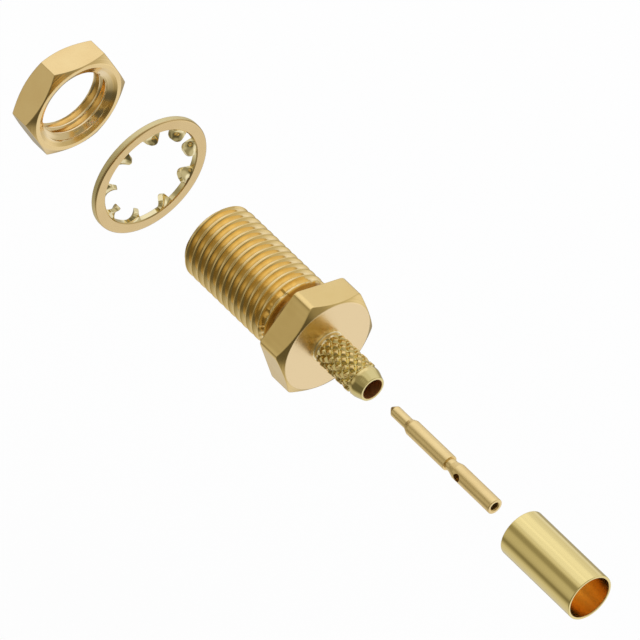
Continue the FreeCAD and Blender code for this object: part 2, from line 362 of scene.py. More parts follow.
@dataclass(frozen=True)
class PanelThread:
    """A right-handed 60 degree thread, 36 turns to the inch, a quarter inch across."""

    start: float
    major: float = 3.175
    pitch: float = REAL_PITCH
    depth: float = 0.433
    crest: float = 0.088
    edge: float = 0.013
    edge_sag: float = 0.45
    flank_rows: tuple[float, float] = (0.09, 0.17)
    lead: float = 0.75

    def section(self) -> tuple[np.ndarray, np.ndarray]:
        """Half of the thread's outline, from a crest's middle to the next groove's middle.

        The crest is flat, the flank falls at 60 degrees, the root is flat, and each corner has one more point that
        rounds it by a part of the edge.

        Returns:
            Distances from the crest's middle along the axis, and the cut below the major radius at each.
        """
        top = self.crest / 2
        foot = top + self.depth * TAN_30
        steep = 1.0 / TAN_30
        near, far = self.flank_rows
        sag = self.edge * self.edge_sag
        away = [0.0, top - self.edge, top, top + self.edge, top + near, top + far, foot - self.edge, foot,
                foot + self.edge, self.pitch / 2]
        cut = [0.0, 0.0, sag, self.edge * steep, near * steep, far * steep, self.depth - self.edge * steep,
               self.depth - sag, self.depth, self.depth]
        return np.array(away), np.array(cut)

    def radius(self, along: np.ndarray, angles: np.ndarray) -> np.ndarray:
        """The thread's radius at each place.

        The phase is the place along the axis in pitches, less the angle in turns, plus the lead in turns, and it is
        a whole number on a crest. The distance from the nearest crest picks the cut from the thread's outline.

        Args:
            along: Places along the axis.
            angles: Directions in radians.

        Returns:
            Radii, in the arrays' common shape.
        """
        phase = (along - self.start) / self.pitch - angles / TURN + self.lead
        away, cut = self.section()
        return self.major - np.interp(np.abs(phase - np.round(phase)) * self.pitch, away, cut)

    def rows(self, low: float, high: float, angles: np.ndarray) -> tuple[np.ndarray, int]:
        """Places rows along the axis so that each follows the thread's helix and keeps its part of the outline.

        A row is the place of its outline point on a crest's turn plus a pitch times the angle in turns, held
        between the two ends.

        Args:
            low: Where the rows begin.
            high: Where they end.
            angles: The columns' directions, rising within one turn.

        Returns:
            Rows by columns of places, and how many rows make a pitch.
        """
        away, _ = self.section()
        offsets = np.concatenate([-away[:0:-1], away[:-1]])
        first = math.floor((low - self.start) / self.pitch) - SPARE_TURNS
        last = math.ceil((high - self.start) / self.pitch) + SPARE_TURNS
        turns = np.arange(first, last)[:, None] - self.lead
        base = (self.start + turns * self.pitch + offsets[None, :]).ravel()
        return np.clip(base[:, None] + self.pitch * angles[None, :] / TURN, low, high), len(offsets)


@dataclass(frozen=True)
class Zone:
    """Metal between two radii and two places along the axis, with a roughness of its own and a colour, which for some
    zones is painted light and shade.

    Each edge of the zone fades over the soft width. An inner radius below zero takes the zone to the axis.
    """

    inner: float
    outer: float
    start: float
    end: float
    colour: str
    roughness: float
    soft: float = 0.04

    def mask(self, tree: bpy.types.NodeTree, radius: Any, along: Any) -> Any:
        """Builds the zone's mask: one inside, fading to zero over the soft width at each edge.

        Args:
            tree: The material's nodes.
            radius: The distance from the axis, a node or a socket.
            along: The place along it, likewise.

        Returns:
            The mask's last node.
        """
        mask: Any = 1.0
        for value, low, high in ((radius, self.inner, self.outer), (along, self.start, self.end)):
            for zero, one in ((low - self.soft, low), (high, high - self.soft)):
                edge = add_node(tree, "MapRange", {"interpolation_type": "SMOOTHSTEP"}, {0: value, 1: zero, 2: one})
                mask = add_node(tree, "Math", {"operation": "MULTIPLY"}, {0: mask, 1: edge})
        return mask


@dataclass(frozen=True)
class GoldPlate:
    """Bright gold plating, 0.1 to 0.8 micrometres thick, over worked brass or bronze.

    The plating copies the metal under it, so the eye sees the marks of the lathe, the die or the press in one warm
    mirror, and the colour deepens to orange where the surface sees itself.
    """

    name: str
    colour: str = "#F9DA90"
    worn_colour: str = "#F0CC7E"
    roughness: float = 0.18
    roughness_spread: float = 0.08
    surface: Surface = Surface.TURNED
    mark_pitch: float = 0.16
    mark_depth: float = 0.0008
    grain: float = 0.5
    grain_depth: float = 0.0005
    cloud_scale: float = 0.45
    streak: float = 0.12
    zones: tuple[Zone, ...] = ()

    def material(self) -> bpy.types.Material:
        """Builds the material: a metal with soft cloudy roughness, tool marks, a fine uneven skin and its zones.

        The clouds are stains of about 2.2 mm from rinsing and handling. The skin's real grain is a few micrometres
        wide, too fine to show, so it is drawn at half a millimetre. On a drawn tube both stretch along the axis.

        Returns:
            The new material.
        """
        material = new_material(self.name)
        tree = material.node_tree
        place = add_node(tree, "TexCoord").outputs["Object"]
        in_mm = add_node(tree, "VectorMath", {"operation": "SCALE"}, {0: place, "Scale": 1.0 / MM})
        point = in_mm
        if self.surface is Surface.DRAWN:
            point = add_node(tree, "VectorMath", {"operation": "MULTIPLY"}, {0: point, 1: (self.streak, 1.0, 1.0)})
        clouds = add_node(tree, "TexNoise", None, {"Vector": point, "Scale": self.cloud_scale, "Detail": 3.0})
        skin = add_node(tree, "TexNoise", None,
                        {"Vector": point, "Scale": 1.0 / self.grain, "Detail": 4.0, "Roughness": 0.6})
        tone = add_node(tree, "Mix", {"data_type": "RGBA"},
                        {0: clouds, 6: linear(self.colour), 7: linear(self.worn_colour)}).outputs[2]
        spread = self.roughness_spread / 2
        rough = add_node(tree, "MapRange", None,
                         {0: clouds, 1: NOISE_LOW, 2: NOISE_HIGH, 3: self.roughness - spread,
                          4: self.roughness + spread})
        along = add_node(tree, "SeparateXYZ", None, {0: in_mm})
        flat = add_node(tree, "VectorMath", {"operation": "MULTIPLY"}, {0: in_mm, 1: (0.0, 1.0, 1.0)})
        radius = add_node(tree, "VectorMath", {"operation": "LENGTH"}, {0: flat}).outputs[1]
        for zone in self.zones:
            mask = zone.mask(tree, radius, along)
            tone = add_node(tree, "Mix", {"data_type": "RGBA"}, {0: mask, 6: tone, 7: linear(zone.colour)}).outputs[2]
            rough = add_node(tree, "Mix", {"data_type": "FLOAT"}, {0: mask, 2: rough, 3: zone.roughness})
        bump = add_node(tree, "Bump", None, {"Strength": 1.0, "Distance": self.grain_depth * MM, "Height": skin})
        if self.surface is Surface.TURNED:
            bump = self.tool_marks(tree, in_mm, bump)
        shader = add_node(tree, "BsdfPrincipled", None,
                          {"Base Color": tone, "Metallic": 1.0, "Roughness": rough, "Normal": bump})
        add_node(tree, "OutputMaterial", None, {"Surface": shader})
        return material

    def tool_marks(self, tree: bpy.types.NodeTree, point: bpy.types.Node, bump: bpy.types.Node) -> bpy.types.Node:
        """Adds the lathe's feed marks: bands along the axis on cylinders, and rings round it on faces.

        The real feed is about 0.05 mm, too fine to show, so it is drawn about three times as coarse.

        Args:
            tree: The material's node tree.
            point: The node with object coordinates in millimetres.
            bump: The bump below the marks.

        Returns:
            The last bump node.
        """
        for kind, direction in (("BANDS", "bands_direction"), ("RINGS", "rings_direction")):
            wave = add_node(tree, "TexWave", {"wave_type": kind, direction: "X"},
                            {"Vector": point, "Scale": WAVE_SCALE / self.mark_pitch, "Distortion": 0.6,
                             "Detail": 2.0, "Detail Scale": 1.5})
            bump = add_node(tree, "Bump", None,
                            {"Strength": 1.0, "Distance": self.mark_depth * MM, "Height": wave.outputs[1],
                             "Normal": bump})
        return bump


@dataclass(frozen=True)
class DielectricPlastic:
    """Machined PTFE: a waxy white that light enters a little way, with faint turning marks.

    The real marks are about 0.05 mm apart, and they are drawn four times as coarse.
    """

    name: str = "white_ptfe"
    colour: str = "#F1EFE8"
    shade: str = "#E4E1D6"
    roughness: float = 0.42
    mark_pitch: float = 0.2
    mark_depth: float = 0.002

    def material(self) -> bpy.types.Material:
        """Builds the material: a soft translucent white with rings from the lathe.

        Returns:
            The new material.
        """
        material = new_material(self.name)
        tree = material.node_tree
        place = add_node(tree, "TexCoord").outputs["Object"]
        point = add_node(tree, "VectorMath", {"operation": "SCALE"}, {0: place, "Scale": 1.0 / MM})
        clouds = add_node(tree, "TexNoise", None, {"Vector": point, "Scale": 1.2, "Detail": 4.0})
        colour = add_node(tree, "Mix", {"data_type": "RGBA"},
                          {0: clouds, 6: linear(self.colour), 7: linear(self.shade)})
        wave = add_node(tree, "TexWave", {"wave_type": "RINGS", "rings_direction": "X"},
                        {"Vector": point, "Scale": WAVE_SCALE / self.mark_pitch, "Distortion": 0.8, "Detail": 2.0})
        bump = add_node(tree, "Bump", None,
                        {"Strength": 1.0, "Distance": self.mark_depth * MM, "Height": wave.outputs[1]})
        shader = add_node(tree, "BsdfPrincipled", None,
                          {"Base Color": colour.outputs[2], "Roughness": self.roughness, "IOR": 1.35,
                           "Subsurface Weight": 0.25, "Subsurface Scale": 0.4 * MM, "Normal": bump})
        add_node(tree, "OutputMaterial", None, {"Surface": shader})
        return material


Finish = GoldPlate | DielectricPlastic


def dress(obj: bpy.types.Object, node: str, body: str, finish: Finish) -> bpy.types.Object:
    """Gives a finished piece its material and its body, and hides the CAD node that it stands for.

    Args:
        obj: The piece.
        node: The CAD node that it replaces.
        body: The moving body that carries it.
        finish: What the piece is made of.

    Returns:
        The same piece.
    """
    obj.data.materials.append(finish.material())
    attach(obj, body)
    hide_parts(node)
    return obj


@dataclass
class ConnectorBody:
    """Barrel, hexagon flange and knurled crimp stem, turned in one piece and plated."""

    finish: GoldPlate
    thread: PanelThread
    columns: int = 168
    barrel_chamfer: float = 0.4
    barrel_land: float = 0.06
    thread_margin: float = 0.05
    groove_start: float = -1.15
    groove_slope: float = 0.25
    socket_radius: float = 2.3
    socket_depth: float = 1.93
    flange_flats: float = 8.0
    flange_thickness: float = 2.45
    flange_face: float = 3.85
    flange_edge: float = 0.5
    corner_slope: float = TAN_30
    front_break: float = 0.1
    rear_wall: float = 0.5
    pocket_radius: float = 2.05
    stem_radius: float = 1.375
    stem_bore: float = 0.845
    neck_length: float = 0.27
    neck_cut: float = 0.12
    neck_fillet: float = 0.08
    nose_length: float = 1.2
    nose_taper: float = 0.8
    nose_land: float = 1.3
    nose_radius: float = 1.04
    nose_round: float = 0.35
    knurl_depth: float = 0.21
    knurl_around: int = 11
    knurl_pitch: float = 0.95
    knurl_row: float = 0.05
    knurl_gap: float = 0.04
    knurl_end: float = 0.12
    knurl_steepness: float = 1.6
    torn_depth: float = 0.09
    torn_place: float = 0.3
    torn_reach: float = 0.5
    torn_limit: float = 1.5

    def barrel_radius(self, along: np.ndarray, angles: np.ndarray) -> np.ndarray:
        """The barrel's radius at each place.

        It is the least of the thread's radius, the lead chamfer's cone and the run-out groove in front of the
        flange. The last crest is torn: where a sum of three sines of the angle is high, a little is missing.

        Args:
            along: Places along the axis.
            angles: Directions in radians.

        Returns:
            Radii, in the arrays' common shape.
        """
        cone = self.thread.major - self.barrel_chamfer + (along - self.thread.start)
        share = np.clip((along - self.groove_start) / self.groove_slope, 0.0, 1.0)
        groove = self.thread.major - self.thread.depth * share
        waves = sum(np.sin(count * angles + phase) for count, phase in TORN_WAVES)
        near = np.clip(1.0 - np.abs(along - self.groove_start + self.torn_place) / self.torn_reach, 0.0, 1.0)
        torn = self.torn_depth * np.clip(waves, 0.0, self.torn_limit) * near
        return np.minimum(np.minimum(self.thread.radius(along, angles) - torn, cone), groove)

    def knurl_rows(self, start: float, end: float, angles: np.ndarray) -> np.ndarray:
        """The knurled stretch of the stem.

        Two sets of V grooves run round the stem in opposite helices. Each groove's height rises softly from zero
        at its middle to one a third of the way to the next, and the lower of the two heights makes flat-topped
        diamonds.

        Args:
            start: Where the knurl begins along the axis.
            end: Where it ends.
            angles: The columns' directions.

        Returns:
            Rows by columns by two, as places along the axis and radii.
        """
        rows = int((end - start) / self.knurl_row)
        along = np.linspace(start, end, rows)[:, None]
        around = self.knurl_around * angles[None, :] / TURN
        heights = []
        for hand in (1.0, -1.0):
            phase = around + hand * (along - start) / self.knurl_pitch
            heights.append(2.0 * np.abs(phase - np.round(phase)))
        height = np.minimum(np.minimum(heights[0], heights[1]) * self.knurl_steepness, 1.0)
        height = height * height * (3.0 - 2.0 * height)
        ends = np.clip(np.minimum(along - start, end - along) / self.knurl_end, 0.0, 1.0)
        floor = self.neck_cut * (1.0 - ends) + self.knurl_depth * ends * (1.0 - height)
        return np.stack(np.broadcast_arrays(along, self.stem_radius - floor), axis=2)

    def build(self) -> bpy.types.Object:
        """Builds the piece as one closed profile carried round the axis, with rows along the thread's helix.

        Returns:
            The body's object.
        """
        low, high = (corner.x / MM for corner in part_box("connector_body"))
        angles = column_angles(self.columns, self.flange_flats, self.flange_edge)
        count = len(angles)
        hexagon = hexagon_radius(angles, self.flange_flats, self.flange_edge)
        drop = (hexagon - self.flange_face) * self.corner_slope
        rear = self.flange_thickness
        knurl_start = rear + self.neck_length
        knurl_end = high - self.nose_length
        neck = self.stem_radius - self.neck_cut
        root = self.thread.major - self.thread.depth
        socket_floor = low + self.socket_depth
        shoulder = rear - self.rear_wall
        end_radius = self.thread.major - self.barrel_chamfer
        seam = low + self.socket_depth / 2
        thread_low = low + self.thread_margin
        thread_high = self.groove_start + self.groove_slope + self.thread_margin
        front = column_profile([
            (seam, self.socket_radius, SHARP),
            (low, self.socket_radius, BROKEN),
            (low, end_radius - self.barrel_land, EASED),
            (thread_low, self.barrel_radius(np.full(count, thread_low), angles), SHARP),
        ], count)
        along, shift = self.thread.rows(thread_low, thread_high, angles)
        barrel = np.stack([along, self.barrel_radius(along, angles[None, :])], axis=2)
        middle = column_profile([
            (thread_high, root, SHARP),
            (0.0, root, BROKEN),
            (0.0, hexagon - self.front_break, BROKEN),
            (self.front_break, hexagon, BROKEN),
            (rear - drop, hexagon, BROKEN),
            (rear, self.flange_face, BROKEN),
            (rear, neck, self.neck_fillet),
            (knurl_start - self.knurl_gap, neck, SHARP),
        ], count)
        rear_part = column_profile([
            (knurl_end + self.knurl_gap, neck, SHARP),
            (knurl_end + self.knurl_end, self.nose_land, BROKEN),
            (high - self.nose_taper, self.nose_land, self.nose_round),
            (high, self.nose_radius, BROKEN),
            (high, self.stem_bore, BROKEN),
            (shoulder, self.stem_bore, FINE),
            (shoulder, self.pocket_radius, FINE),
            (socket_floor, self.pocket_radius, FINE),
            (socket_floor, self.socket_radius, FINE),
            (seam, self.socket_radius, SHARP),
        ], count)
        behind = np.concatenate([middle, self.knurl_rows(knurl_start, knurl_end, angles), rear_part])
        maker = MeshMaker()
        maker.add_grid(carry(front, angles))
        maker.add_grid(carry(barrel, angles), shift=shift)
        maker.add_grid(carry(behind, angles))
        obj = maker.build("threaded_body")
        return dress(obj, "connector_body", "connector", self.finish)


@dataclass
class Tube:
    """A plain tube with broken edges, which the sleeve and the ferrule both are."""

    finish: Finish
    outer: float
    bore: float
    edge: float
    columns: int

    def tube(self, name: str, box: Any) -> bpy.types.Object:
        """Builds the tube as one closed profile carried round the axis.

        Args:
            name: The object's name.
            box: The two corners of the box that gives its length.

        Returns:
            The tube's object.
        """
        low, high = (corner.x / MM for corner in box)
        middle = (low + high) / 2
        angles = column_angles(self.columns)
        profile = column_profile([
            (middle - TUBE_SEAM, self.bore, SHARP),
            (low, self.bore, self.edge),
            (low, self.outer, self.edge),
            (high, self.outer, self.edge),
            (high, self.bore, self.edge),
            (middle + TUBE_SEAM, self.bore, SHARP),
        ], len(angles))
        maker = MeshMaker()
        maker.add_grid(carry(profile, angles), close_rows=True)
        return maker.build(name)


@dataclass
class DielectricSleeve(Tube):
    """The white sleeve that holds the contact on the axis."""

    outer: float = 2.03
    bore: float = 0.685
    edge: float = 0.08
    columns: int = 96

    def build(self) -> bpy.types.Object:
        """Builds and dresses the sleeve."""
        obj = self.tube("dielectric_sleeve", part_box("insulator"))
        return dress(obj, "insulator", "connector", self.finish)


@dataclass
class CrimpFerrule(Tube):
    """The plain thin tube that is squeezed over braid and stem."""

    outer: float = 1.95
    bore: float = 1.75
    edge: float = 0.06
    columns: int = 160

    def build(self) -> bpy.types.Object:
        """Builds and dresses the ferrule."""
        obj = self.tube("crimp_tube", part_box("crimp_ferrule"))
        return dress(obj, "crimp_ferrule", "ferrule", self.finish)


@dataclass
class CentreContact:
    """The stepped centre pin with its retaining groove, solder cup and sight hole."""

    finish: GoldPlate
    shank: float = 0.635
    tip: float = 0.45
    point: float = 0.11
    point_length: float = 0.42
    tip_length: float = 2.0
    step_length: float = 0.45
    groove_start: float = 6.85
    groove_floor: float = 0.45
    groove_ramp: float = 0.55
    groove: float = 0.48
    cup: float = 0.33
    cup_depth: float = 4.0
    cup_mouth: float = 0.08
    sight_hole: float = 0.32
    sight_hole_place: float = 3.8
    hub: float = 0.02
    cup_cone: float = 0.18
    cup_tip: float = 0.2
    columns: int = 96
    drill_columns: int = 48
    drill_reach: float = 1.0

    def build(self) -> bpy.types.Object:
        """Builds the pin as one profile carried round the axis, and drills the sight hole through one side.

        Returns:
            The pin's object.
        """
        low, high = (corner.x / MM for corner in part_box("centre_contact"))
        angles = column_angles(self.columns)
        ramp = low + self.groove_start + self.groove_floor
        cup_floor = high - self.cup_depth
        profile = column_profile([
            (low, self.hub, SHARP),
            (low, self.point, EASED),
            (low + self.point_length, self.tip, EASED),
            (low + self.tip_length, self.tip, FINE),
            (low + self.tip_length + self.step_length, self.shank, BROKEN),
            (low + self.groove_start, self.shank, FINE),
            (low + self.groove_start, self.groove, KEEN),
            (ramp, self.groove, KEEN),
            (ramp + self.groove_ramp, self.shank, EASED),
            (high, self.shank, BROKEN),
            (high, self.cup + self.cup_mouth, KEEN),
            (high - self.cup_mouth, self.cup, KEEN),
            (cup_floor, self.cup, KEEN),
            (cup_floor - self.cup_cone, self.hub, SHARP),
        ], len(angles))
        grid = carry(profile, angles)
        maker = MeshMaker()
        maker.add_grid(grid)
        maker.add_pole(grid[0], np.array([low, 0.0, 0.0]))
        maker.add_pole(grid[-1], np.array([cup_floor - self.cup_tip, 0.0, 0.0]))
        obj = maker.build("centre_pin")
        self.drill(obj, high - self.sight_hole_place)
        return dress(obj, "centre_contact", "contact", self.finish)

    def drill(self, obj: bpy.types.Object, along: float) -> None:
        """Cuts the sight hole: a round drill that comes in from -Y and stops in the cup.

        Args:
            obj: The pin.
            along: The hole's place along the axis.
        """
        angles = column_angles(self.drill_columns)
        depths = np.array([-self.drill_reach, 0.0])[:, None]
        ring = np.stack(np.broadcast_arrays(along + self.sight_hole * np.cos(angles), depths,
                                            self.sight_hole * np.sin(angles)), axis=2)
        maker = MeshMaker()
        maker.add_grid(ring)
        maker.add_pole(ring[0], np.array([along, -self.drill_reach, 0.0]))
        maker.add_pole(ring[1], np.array([along, 0.0, 0.0]))
        drill = maker.build("drill")
        cut = obj.modifiers.new("sight hole", "BOOLEAN")
        cut.operation = "DIFFERENCE"
        cut.solver = "EXACT"
        cut.object = drill
        bpy.context.view_layer.update()
        depsgraph = bpy.context.evaluated_depsgraph_get()
        mesh = bpy.data.meshes.new_from_object(obj.evaluated_get(depsgraph))
        obj.modifiers.clear()
        obj.data = mesh
        mend_normals(mesh)
        bpy.data.objects.remove(drill)


@dataclass
class PanelNut:
    """The thin hexagon nut, countersunk from both sides, with the panel thread inside."""

    finish: GoldPlate
    thread: PanelThread
    flats: float = 8.0
    face: float = 3.9
    edge: float = 0.1
    turn: float = math.radians(9.2)
    corner_slope: float = TAN_30
    mouth: float = 3.6
    countersink_depth: float = 0.45
    clearance: float = 0.075
    inset: float = 0.03
    columns: int = 216

    def bore_radius(self, along: np.ndarray, low: float, high: float, angles: np.ndarray,
                    travel: float) -> np.ndarray:
        """The radius inside the nut: the larger of the thread's and the countersinks' cones.

        The thread's phase is the barrel's at the nut's seat, so that the turns mesh there.

        Args:
            along: Places along the axis.
            low: Where the nut begins.
            high: Where it ends.
            angles: Directions in radians.
            travel: How far the nut moves from its place to its seat.

        Returns:
            Radii, in the arrays' common shape.
        """
        crest = self.thread.major - self.thread.depth + self.clearance
        groove = self.thread.radius(along + travel, angles) + self.clearance
        deep = np.minimum(high - along, along - low) / self.countersink_depth
        return np.maximum(groove, self.mouth - (self.mouth - crest) * deep)

    def build(self, travel: float) -> bpy.types.Object:
        """Builds the nut as one closed profile carried round the axis, with rows along the thread's helix inside.

        Args:
            travel: How far the nut moves from its place to its seat.

        Returns:
            The nut's object.
        """
        low, high = (corner.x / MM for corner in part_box("hex_nut"))
        angles = column_angles(self.columns, self.flats, self.edge)
        count = len(angles)
        hexagon = hexagon_radius(angles, self.flats, self.edge)
        drop = (hexagon - self.face) * self.corner_slope
        turned = angles + self.turn
        first, last = low + self.inset, high - self.inset
        ends = [self.bore_radius(np.full(count, place), low, high, turned, travel) for place in (first, last)]
        outside = column_profile([
            (first, ends[0], SHARP),
            (low, self.mouth, FINE),
            (low, self.face, BROKEN),
            (low + drop, hexagon, BROKEN),
            (high - drop, hexagon, BROKEN),
            (high, self.face, BROKEN),
            (high, self.mouth, FINE),
            (last, ends[1], SHARP),
        ], count)
        along, shift = self.thread.rows(first + travel, last + travel, turned)
        along = np.clip(along - travel, first, last)
        inside = np.stack([along, self.bore_radius(along, low, high, turned[None, :], travel)], axis=2)
        maker = MeshMaker()
        maker.add_grid(carry(outside, turned))
        maker.add_grid(carry(inside, turned), shift=shift)
        return dress(maker.build("panel_nut"), "hex_nut", "nut", self.finish)


@dataclass
class ToothedWasher:
    """The stamped lock washer, whose inner teeth are each twisted out of its plane."""

    finish: GoldPlate
    outer: float = 5.15
    root: float = 4.2
    thickness: float = 0.55
    edge: float = 0.17
    rim_edge: float = 0.12
    teeth: int = 9
    tip: float = 3.245
    root_width: float = 1.4
    tip_width: float = 1.12
    twist: float = math.radians(58.0)
    turn: float = math.radians(13.0)
    tip_round_start: float = 0.62
    tip_round: float = 0.8
    tip_hollow: float = 3.0
    bar_bevel: float = 0.22
    bevel_power: int = 8
    bevel_rise: float = 4.0
    twist_rise: float = 0.8
    tooth_columns: int = 10
    gap_columns: int = 12
    stations: int = 14

    def sector(self) -> np.ndarray:
        """Lists the angles of one tooth's sector from its middle: the tooth's own columns, then the gap's.

        Returns:
            Rising angles.
        """
        across = np.linspace(-self.root_width / 2, self.root_width / 2, self.tooth_columns + 1)
        tooth = np.arcsin(across / self.root)
        gap = np.linspace(tooth[-1], TURN / self.teeth + tooth[0], self.gap_columns + 1)[1:-1]
        return np.concatenate([tooth, gap])

    def tooth_grid(self, half: float) -> np.ndarray:
        """Shapes one tooth that points along +Z.

        The section is a bar: its points run along the upper side and back along the lower one. At each station it
        stands at its radius, turned about that radius by the twist, which grows along the tooth, and its width
        falls from the root along a hollow curve and is rounded off at the tip.

        Args:
            half: Half the bar's thickness.

        Returns:
            Stations by the section's points by three.
        """
        share = np.linspace(0.0, 1.0, self.stations)[:, None]
        across = np.linspace(-0.5, 0.5, self.tooth_columns + 1)
        across = np.concatenate([across, across[::-1]])[None, :]
        side = np.repeat([1.0, -1.0], self.tooth_columns + 1)[None, :]
        width = self.tip_width + (self.root_width - self.tip_width) * (1.0 - share) ** self.tip_hollow
        past = np.clip((share - self.tip_round_start) / (1.0 - self.tip_round_start), 0.0, 1.0)
        width = width * np.sqrt(1.0 - self.tip_round * past ** 2)
        bevel = (2 * np.abs(across)) ** self.bevel_power
        edge = 1.0 - self.bar_bevel * bevel * np.minimum(share * self.bevel_rise, 1.0)
        wide = width * across
        thick = half * side * edge
        turn = self.twist * share ** self.twist_rise
        radius = self.root + (self.tip - self.root) * share - (1.0 - share) * wide ** 2 / (2 * self.root)
        radius = np.where(share == 0.0, np.sqrt(self.root ** 2 - wide ** 2), radius)
        along = thick * np.cos(turn) + wide * np.sin(turn)
        sideways = wide * np.cos(turn) - thick * np.sin(turn)
        return np.stack(np.broadcast_arrays(along, sideways, radius), axis=2)

    def build(self) -> bpy.types.Object:
        """Builds the ring with a window for each tooth, and welds the teeth into the windows.

        Returns:
            The washer's object.
        """
        low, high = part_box("lock_washer")
        middle = (low.x + high.x) / 2 / MM
        half = self.thickness / 2
        chamfer = self.edge / 2
        inner = half - chamfer
        one = self.sector()
        steps = np.arange(self.teeth) * TURN / self.teeth
        angles = math.pi / 2 - (steps[:, None] + one[None, :]).ravel() + self.turn
        count = len(angles)
        ring = column_profile([
            (inner, self.root, SHARP),
            (half, self.root + chamfer, SHARP),
            (half, self.outer, self.edge),
            (-half, self.outer, self.rim_edge),
            (-half, self.root + chamfer, SHARP),
            (-inner, self.root, SHARP),
        ], count)
        rows = ring.shape[0]
        keep = np.ones((rows, count), bool)
        in_sector = np.arange(count) % len(one)
        keep[rows - 1, in_sector < self.tooth_columns] = False
        maker = MeshMaker()
        maker.add_grid(carry(ring, angles) + (middle, 0.0, 0.0), close_rows=True, keep=keep)
        tooth = self.tooth_grid(inner)
        for step in steps:
            lean = math.pi / 2 - step + self.turn
            radial = np.array([0.0, math.cos(lean), math.sin(lean)])
            tangent = np.array([0.0, math.sin(lean), -math.cos(lean)])
            placed = (tooth[..., 0:1] * np.array([1.0, 0.0, 0.0]) + tooth[..., 1:2] * tangent
                      + tooth[..., 2:3] * radial + (middle, 0.0, 0.0))
            maker.add_grid(placed)
            cap = np.stack([placed[-1, :self.tooth_columns + 1], placed[-1, self.tooth_columns + 1:][::-1]])
            maker.add_grid(cap, close_columns=False)
        return dress(maker.build("tooth_washer"), "lock_washer", "washer", self.finish)


@dataclass(frozen=True)
class Glow:
    """A soft patch of the room round one direction, lighter or darker than the rest.

    It fades in between two cosines of the angle to that direction, from nothing at the edge to its full strength.
    """

    toward: tuple[float, float, float]
    edge: float
    full: float
    strength: float


ROOM_GLOWS = (
    # Mirrored by the upper sides of the flats, the thread, the tube and the pin.
    Glow((-0.545, 0.287, 0.788), 0.48, 0.64, 0.40),
    Glow((-0.545, 0.217, 0.810), 0.92, 0.985, 0.17),
    Glow((-0.545, -0.217, 0.810), 0.955, 0.99, 0.22),
    Glow((-0.545, 0.821, -0.174), 0.80, 0.95, 0.12),
    Glow((-0.25, 0.50, 0.83), 0.80, 0.95, 0.10),
    # Mirrored by the faces that look along the axis: the flange's rear face, the washer and the nut.
    Glow((0.545, 0.593, -0.593), 0.70, 0.92, 0.54),
    Glow((0.545, 0.800, 0.250), 0.75, 0.97, 0.26),
    # Mirrored by the lower and the left sides.
    Glow((-0.30, -0.10, -0.95), 0.70, 0.95, 0.36),
    Glow((-0.545, -0.837, -0.06), 0.91, 0.985, 0.24),
    # Dark ones for the turned corners and the countersink.
    Glow((0.93, -0.20, -0.25), 0.84, 0.92, -0.20),
    Glow((0.80, -0.52, 0.15), 0.86, 0.95, -0.19),
    Glow((0.0, -0.88, -0.47), 0.79, 0.90, -0.15),
    # The camera's own side, which the stem's image in the flange's rear face mirrors.
    Glow((0.545, -0.593, 0.593), 0.80, 0.96, 0.26),
)


